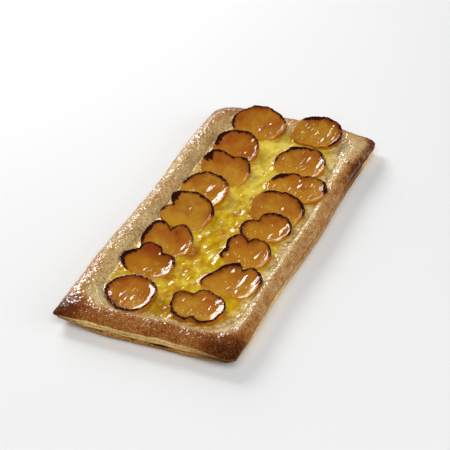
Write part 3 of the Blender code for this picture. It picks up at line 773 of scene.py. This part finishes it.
def build_custard(fruit_grids):
    insets = np.concatenate((np.linspace(CUSTARD_EDGE, 46.0, 41),
                             np.linspace(46.0, CUSTARD_MIDDLE, 34)[1:]))
    grid = np.array([top_ring(float(inset), CUSTARD_HEIGHT) for inset in insets])
    rows, count = grid.shape[:2]
    plan = grid.reshape(-1, 3)[:, :2]
    flat = np.column_stack((plan, np.zeros(len(plan))))
    gap = distance_to_fruits(plan + PLAN_SHIFT, fruit_grids)
    edge_gap = np.repeat(insets - 19.6, count)

    crease = np.clip(1.0 - np.abs(lumps(flat, (6.0, 9.0, 5.0), 43)) * 3.0, 0.0, 1.0)
    crease = crease * step(0.5 + 1.5 * lumps(flat, 14.0, 50))
    top = CUSTARD_HEIGHT + flat_noise(plan[:, 0], plan[:, 1], CUSTARD_SWELL)
    top = top + relief(flat, CUSTARD_RIPPLES) + 0.26 * crease
    meniscus = np.exp(-gap / 1.5) * (1.05 + 0.9 * lumps(flat, 5.0, 44))
    on_right = step((plan[:, 0] - 30.0) / 14.0)
    rise_at_edge = np.exp(-np.clip(edge_gap, 0.0, None) / (1.6 + 1.6 * on_right))
    rise_at_edge = rise_at_edge * (0.6 + 0.6 * lumps(flat, 8.0, 45) + 0.9 * on_right)
    tucked = step((EDGE_TUCK - np.repeat(insets, count)) / (EDGE_TUCK - CUSTARD_EDGE))
    shallow_width = (3.5 + 6.0 * step((plan[:, 0] - 34.0) / 12.0)
                     * step((plan[:, 1] + 110.0) / 20.0))
    shallow = step(1.0 - (edge_gap - 1.0 + 2.2 * lumps(flat, 6.0, 53)) / shallow_width)
    shallow = shallow * (1.0 - 0.75 * np.exp(-gap / 2.2))
    top = top + meniscus + 0.5 * rise_at_edge - 1.2 * tucked
    top = top + shallow * (0.45 * blisters(flat, 3.2, 54) + 0.3 * lumps(flat, 2.0, 55))
    top = top + drop_heights(plan, DROPS["custard"], 0.0)
    points = tuck_under_fruits(np.column_stack((plan, top)), FRUIT, CUSTARD_CLEARANCE)
    points[:, :2] += PLAN_SHIFT

    x, y = points[:, 0], points[:, 1]
    browning = relief(flat, CUSTARD_BROWNING)
    middle = step(1.0 - np.abs(x - 2.0) / 26.0) * step((30.0 - y) / 40.0)
    browned = np.zeros_like(x)
    for patch_x, patch_y, size in BROWN_PATCHES:
        distance = np.hypot(x - patch_x, (y - patch_y) * 0.7) + 2.2 * lumps(flat, 2.6, 52)
        browned = np.maximum(browned, step(1.25 - distance / size))
    milk = relief(flat, CUSTARD_MILK)
    # Darker amber at the halves' feet and under the near halves: glaze pooled there, with painted
    # shade where the halves shade the custard
    near_pool_and_shade = step((-y - 112.0) / 14.0)
    attributes = {
        "baked": np.maximum(browned, 0.6 * step((browning - 0.16) / 0.42) * middle),
        "amber_glaze_and_shade": np.exp(-gap / 2.6) * (0.7 + 0.6 * lumps(flat, 7.0, 48)) + 0.5 * near_pool_and_shade,
        "milky": step((milk - 0.05) / 0.4),
        "shallow": shallow,
        # Lighter toward the far end: painted light and sheen
        "bright": step((y + 5.0) / 70.0),
    }

    # Close it below: a wall down the inner slope and a floor
    wall = []
    for inset, z in CUSTARD_WALL:
        ring = top_ring(inset, z)
        ring[:, 2] = z
        ring[:, :2] += PLAN_SHIFT
        wall.append(ring)
    full = np.concatenate((np.array(wall), points.reshape(rows, count, 3)))
    for key, values in attributes.items():
        values = values.reshape(rows, count)
        attributes[key] = np.concatenate((np.repeat(values[:1], len(wall), axis=0), values))
    thing = closed_mesh("custard_set", full, attributes)
    weld_last_ring(thing, len(full) * count, count)
    return thing


def weld_last_ring(thing, last, count):
    """Join the two sides of the last ring, which meet along the middle."""
    shape = bmesh.new()
    shape.from_mesh(thing.data)
    shape.verts.ensure_lookup_table()
    seam = [vert for vert in shape.verts if last - count <= vert.index < last]
    bmesh.ops.delete(shape, geom=[shape.verts[last + 1]], context="VERTS")
    bmesh.ops.remove_doubles(shape, verts=seam, dist=0.00002)
    shape.to_mesh(thing.data)
    shape.free()
    thing.data.shade_smooth()


# ---------------- materials

class Nodes:
    """A short way to wire a node material."""

    def __init__(self, name):
        self.material = bpy.data.materials.new(name)
        self.material.use_nodes = True
        self.tree = self.material.node_tree
        self.shader = self.tree.nodes["Principled BSDF"]
        self.place = self.tree.nodes.new("ShaderNodeTexCoord").outputs["Object"]

    def add(self, kind, inputs=(), **settings):
        node = self.tree.nodes.new("ShaderNode" + kind)
        for key, value in settings.items():
            setattr(node, key, value)
        for key, value in inputs:
            self.feed(node.inputs[key], value)
        return node

    def feed(self, socket, value):
        if isinstance(value, bpy.types.NodeSocket):
            self.tree.links.new(value, socket)
        else:
            socket.default_value = value

    def layer(self, name):
        return self.add("Attribute", attribute_name=name).outputs["Fac"]

    def noise(self, size_mm, detail=2.0, stretch=(1.0, 1.0, 1.0)):
        scaled = self.add("Mapping", [("Vector", self.place), ("Scale", stretch)])
        return self.add("TexNoise", [("Vector", scaled.outputs[0]), ("Scale", 1000.0 / size_mm),
                                     ("Detail", detail)]).outputs["Fac"]

    def maths(self, operation, a, b, clamp=False):
        node = self.add("Math", [(0, a), (1, b)], operation=operation, use_clamp=clamp)
        return node.outputs[0]

    def scaled(self, value, factor, offset):
        node = self.add("Math", [(0, value), (1, factor), (2, offset)], operation="MULTIPLY_ADD")
        return node.outputs[0]

    def ramp(self, value, stops):
        node = self.add("ValToRGB", [("Fac", value)])
        ramp = node.color_ramp
        while len(ramp.elements) < len(stops):
            ramp.elements.new(0.5)
        for element, (position, colour) in zip(ramp.elements, stops):
            element.position = position
            element.color = colour
        return node.outputs["Color"]

    def mix(self, share, a, b, mode="MIX"):
        node = self.add("Mix", data_type="RGBA", blend_type=mode)
        self.feed(node.inputs[0], share)
        self.feed(node.inputs[6], a)
        self.feed(node.inputs[7], b)
        return node.outputs[2]

    def bump(self, height, strength, distance_mm, before=None):
        inputs = [("Height", height), ("Strength", strength), ("Distance", distance_mm * MM)]
        if before is not None:
            inputs.append(("Normal", before))
        return self.add("Bump", inputs).outputs["Normal"]

    def finish(self, **sockets):
        for key, value in sockets.items():
            self.feed(self.shader.inputs[key.replace("_", " ")], value)
        return self.material


def grey(value):
    return (value, value, value, 1.0)


def pastry_material():
    n = Nodes("pastry_look")
    speckle = n.scaled(n.noise(1.1, 3.0), 1.1, -0.55)
    contrast = n.scaled(n.layer("bake"), -0.55, 1.1)
    mottle = n.noise(3.0, 3.0)
    amount = n.maths("ADD", n.layer("bake"), n.scaled(mottle, 0.25, -0.125))
    amount = n.maths("ADD", amount, n.maths("MULTIPLY", speckle, contrast), clamp=True)
    crust = n.ramp(amount, [(0.0, rgb(214, 194, 140)), (0.20, rgb(200, 168, 114)),
                            (0.40, rgb(180, 136, 82)), (0.60, rgb(148, 90, 38)),
                            (0.80, rgb(106, 50, 14)), (1.0, rgb(62, 24, 4))])
    specks = n.ramp(n.noise(2.0, 2.0), [(0.48, grey(0.0)), (0.62, grey(0.45))])
    crust = n.mix(n.maths("MULTIPLY", specks, n.layer("speckled")), crust, rgb(128, 98, 60))
    leaves = n.noise(2.2, 3.0, (0.35, 0.35, 3.2))
    opened = n.ramp(leaves, [(0.30, rgb(190, 146, 80)), (0.5, rgb(234, 198, 126)),
                             (0.70, rgb(246, 222, 162))])
    opened = n.mix(n.ramp(n.noise(1.3, 2.0), [(0.54, grey(0.0)), (0.68, grey(0.7))]), opened,
                   rgb(152, 102, 48))
    bottom = n.ramp(n.noise(1.6, 3.0, (0.6, 0.6, 1.6)),
                    [(0.30, rgb(122, 72, 30)), (0.5, rgb(176, 120, 58)),
                     (0.68, rgb(212, 164, 96))])
    colour = n.mix(n.layer("pale"), crust, opened)
    colour = n.mix(n.layer("under"), colour, bottom)
    # Painted shade: darker in the hollows between the leaves
    colour = n.mix(n.maths("MULTIPLY", n.layer("crease"), 0.75), colour, rgb(92, 52, 24))
    # Painted shade: dark inside the open gap between the leaves
    colour = n.mix(n.layer("split_and_shade"), colour, rgb(74, 38, 14))
    patches = n.ramp(n.noise(3.4, 2.0), [(0.40, grey(0.10)), (0.54, grey(1.0))])
    wet = n.maths("MULTIPLY", n.layer("wet"), patches)
    rough = n.ramp(wet, [(0.0, grey(0.65)), (1.0, grey(0.5))])
    coarse = n.bump(n.noise(3.2, 1.0), 1.0, 1.15)
    grain = n.bump(n.noise(1.8, 0.0), 0.8, 0.55, coarse)
    fine = n.bump(n.noise(1.0, 2.0), 0.5, 0.5, coarse)
    return n.finish(Base_Color=colour, Roughness=rough, Specular_IOR_Level=0.04, Normal=fine,
                    Coat_Weight=wet, Coat_Roughness=0.03, Coat_IOR=1.95, Coat_Normal=grain)


def custard_material():
    n = Nodes("custard_look")
    # Lighter yellow toward the far end: painted light
    mottle = n.maths("ADD", n.noise(5.5, 2.5, (1.0, 0.6, 1.0)),
                     n.scaled(n.layer("bright"), 0.14, 0.0))
    base = n.ramp(mottle, [(0.30, rgb(170, 122, 6)), (0.46, rgb(188, 148, 12)),
                           (0.58, rgb(202, 170, 26)), (0.70, rgb(218, 194, 64))])
    # Whiter toward the far end: painted sheen, on top of the real pale skin
    milk = n.maths("ADD", n.layer("milky"), n.scaled(n.layer("bright"), 0.45, 0.0))
    milk = n.maths("MULTIPLY", milk, n.scaled(n.noise(2.6, 2.0), 2.0, -0.6), clamp=True)
    colour = n.mix(milk, base, rgb(228, 206, 116))
    # Darker amber at the halves' feet and at the near end: pooled glaze with painted shade
    colour = n.mix(n.maths("MULTIPLY", n.layer("amber_glaze_and_shade"), 0.85, clamp=True), colour,
                   rgb(178, 116, 6))
    browned = n.maths("MULTIPLY", n.layer("baked"), n.scaled(n.noise(2.5, 3.0), 1.6, -0.1),
                      clamp=True)
    colour = n.mix(browned, colour, rgb(172, 96, 30))
    crusty = n.ramp(n.maths("ADD", n.noise(3.0, 3.0), n.scaled(n.noise(1.0, 3.0), 0.7, -0.35)),
                    [(0.34, rgb(156, 112, 56)), (0.5, rgb(206, 176, 114)),
                     (0.64, rgb(232, 214, 164))])
    colour = n.mix(n.maths("MULTIPLY", n.layer("shallow"), 0.92), colour, crusty)
    fine = n.bump(n.noise(2.0, 2.0), 0.3, 0.4)
    return n.finish(Base_Color=colour, Roughness=0.45, Specular_IOR_Level=0.0, Normal=fine,
                    Subsurface_Weight=0.35, Subsurface_Radius=(1.0, 0.6, 0.2),
                    Subsurface_Scale=0.003, Coat_Weight=1.0, Coat_Roughness=0.06,
                    Coat_Normal=fine)


def apricot_material():
    n = Nodes("apricot_look")
    blotch = n.noise(6.0, 3.0)
    tone = n.maths("ADD", n.layer("ripe"), n.scaled(blotch, 0.8, -0.4))
    tone = n.maths("ADD", tone, n.scaled(n.noise(1.5, 3.0), 0.3, -0.15), clamp=True)
    flesh = n.ramp(tone, [(0.0, rgb(182, 132, 38)), (0.4, rgb(165, 102, 27)),
                          (0.75, rgb(154, 80, 20)), (1.0, rgb(134, 58, 14))])
    skin = n.ramp(blotch, [(0.3, rgb(162, 78, 10)), (0.6, rgb(188, 110, 14)),
                           (0.8, rgb(200, 136, 22))])
    colour = n.mix(n.layer("skin"), flesh, skin)
    colour = n.mix(n.maths("MULTIPLY", n.layer("low"), 0.85), colour, rgb(186, 134, 22))
    fleck = n.noise(1.1, 2.0)
    scorched = n.maths("MULTIPLY", n.layer("scorch"), n.scaled(n.noise(2.4, 2.0), 1.3, 0.15),
                       clamp=True)
    colour = n.mix(scorched, colour, rgb(112, 42, 10))
    char = n.layer("char")
    ragged = n.maths("ADD", char, n.scaled(fleck, 0.9, -0.45))
    burnt = n.ramp(ragged, [(0.30, grey(0.0)), (0.56, grey(1.0))])
    coal = n.ramp(ragged, [(0.40, rgb(108, 38, 12)), (0.80, rgb(66, 24, 9)), (1.0, rgb(42, 16, 7))])
    colour = n.mix(burnt, colour, coal)
    sparks = n.ramp(n.noise(1.8, 1.0), [(0.46, grey(0.1)), (0.54, grey(1.0))])
    gloss = n.mix(n.ramp(char, [(0.25, grey(0.0)), (0.6, grey(1.0))]), grey(1.0), sparks)
    gloss = n.maths("MULTIPLY", gloss, n.scaled(n.layer("thin"), -1.0, 1.0))
    fine = n.bump(n.noise(2.2, 2.0), n.scaled(char, 0.85, 0.12), 1.0)
    dots = n.ramp(n.noise(1.3, 0.0), [(0.64, grey(0.0)), (0.80, grey(1.0))])
    beads = n.bump(n.maths("MULTIPLY", dots, n.layer("beaded")), 1.0, 0.40, fine)
    return n.finish(Base_Color=colour, Roughness=0.45, Specular_IOR_Level=0.0, Normal=fine,
                    Coat_Weight=gloss, Coat_Roughness=0.05, Coat_Normal=beads)


def floor_material():
    n = Nodes("floor_look")
    shade = n.ramp(n.noise(180.0, 2.0), [(0.0, grey(0.785)), (1.0, grey(0.81))])
    return n.finish(Base_Color=shade, Roughness=0.8)


# ---------------- the scene

fruit_look = apricot_material()
fruit_grids = {}
for number, key in enumerate(FRUIT):
    piece, fruit_grids[key] = build_apricot(key, number)
    piece.data.materials.append(fruit_look)
    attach(piece, "root")
    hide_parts("apricot_" + key)

pastry = build_pastry()
pastry.data.materials.append(pastry_material())
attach(pastry, "root")
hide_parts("pastry")

custard = build_custard(fruit_grids)
custard.data.materials.append(custard_material())
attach(custard, "root")
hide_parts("custard")

# Floor, lights and camera
floor_mesh = bpy.data.meshes.new("floor")
floor_mesh.from_pydata([(-4, -4, 0), (4, -4, 0), (4, 4, 0), (-4, 4, 0)], [], [(0, 1, 2, 3)])
floor = bpy.data.objects.new("floor", floor_mesh)
floor.location.z = -0.0002
bpy.context.scene.collection.objects.link(floor)
floor.data.materials.append(floor_material())


def softbox(name, direction, distance, size, power, shines=True):
    light = bpy.data.lights.new(name, "AREA")
    light.shape = "RECTANGLE"
    light.size, light.size_y = size
    light.energy = power
    thing = bpy.data.objects.new(name, light)
    thing.location = Vector(direction).normalized() * distance
    thing.rotation_euler = (-Vector(direction)).to_track_quat("-Z", "Y").to_euler()
    thing.visible_glossy = shines
    bpy.context.scene.collection.objects.link(thing)


softbox("key_light", (-0.72, 0.42, 0.55), 1.5, (0.5, 0.5), 11.0)
softbox("glint_light", (-0.574, 0.495, 0.656), 1.5, (0.16, 0.16), 1.0)
softbox("back_light", (-0.641, 0.687, 0.342), 1.6, (0.7, 0.55), 9.0)
softbox("fill_light", (0.25, -0.55, 0.80), 2.0, (2.0, 2.0), 36.0, False)
softbox("side_light", (0.95, 0.10, 0.36), 1.8, (1.4, 1.0), 12.0, False)

world = bpy.data.worlds.new("studio")
world.use_nodes = True
world.node_tree.nodes["Background"].inputs["Color"].default_value = (1.0, 1.0, 1.0, 1.0)
world.node_tree.nodes["Background"].inputs["Strength"].default_value = 0.06
bpy.context.scene.world = world
bpy.context.scene.view_settings.view_transform = "Standard"

AZIMUTH = math.radians(22.844)
ELEVATION = math.radians(35.358)
DISTANCE = 1.3862
TARGET = Vector((-0.00370, 0.00819, 0.0))
back = Vector((math.sin(AZIMUTH) * math.cos(ELEVATION), -math.cos(AZIMUTH) * math.cos(ELEVATION),
               math.sin(ELEVATION)))
camera_data = bpy.data.cameras.new("camera")
camera_data.lens = 144.0
camera_data.sensor_width = 36.0
camera = bpy.data.objects.new("camera", camera_data)
camera.location = TARGET + back * DISTANCE
camera.rotation_euler = (-back).to_track_quat("-Z", "Y").to_euler()
bpy.context.scene.collection.objects.link(camera)
bpy.context.scene.camera = camera
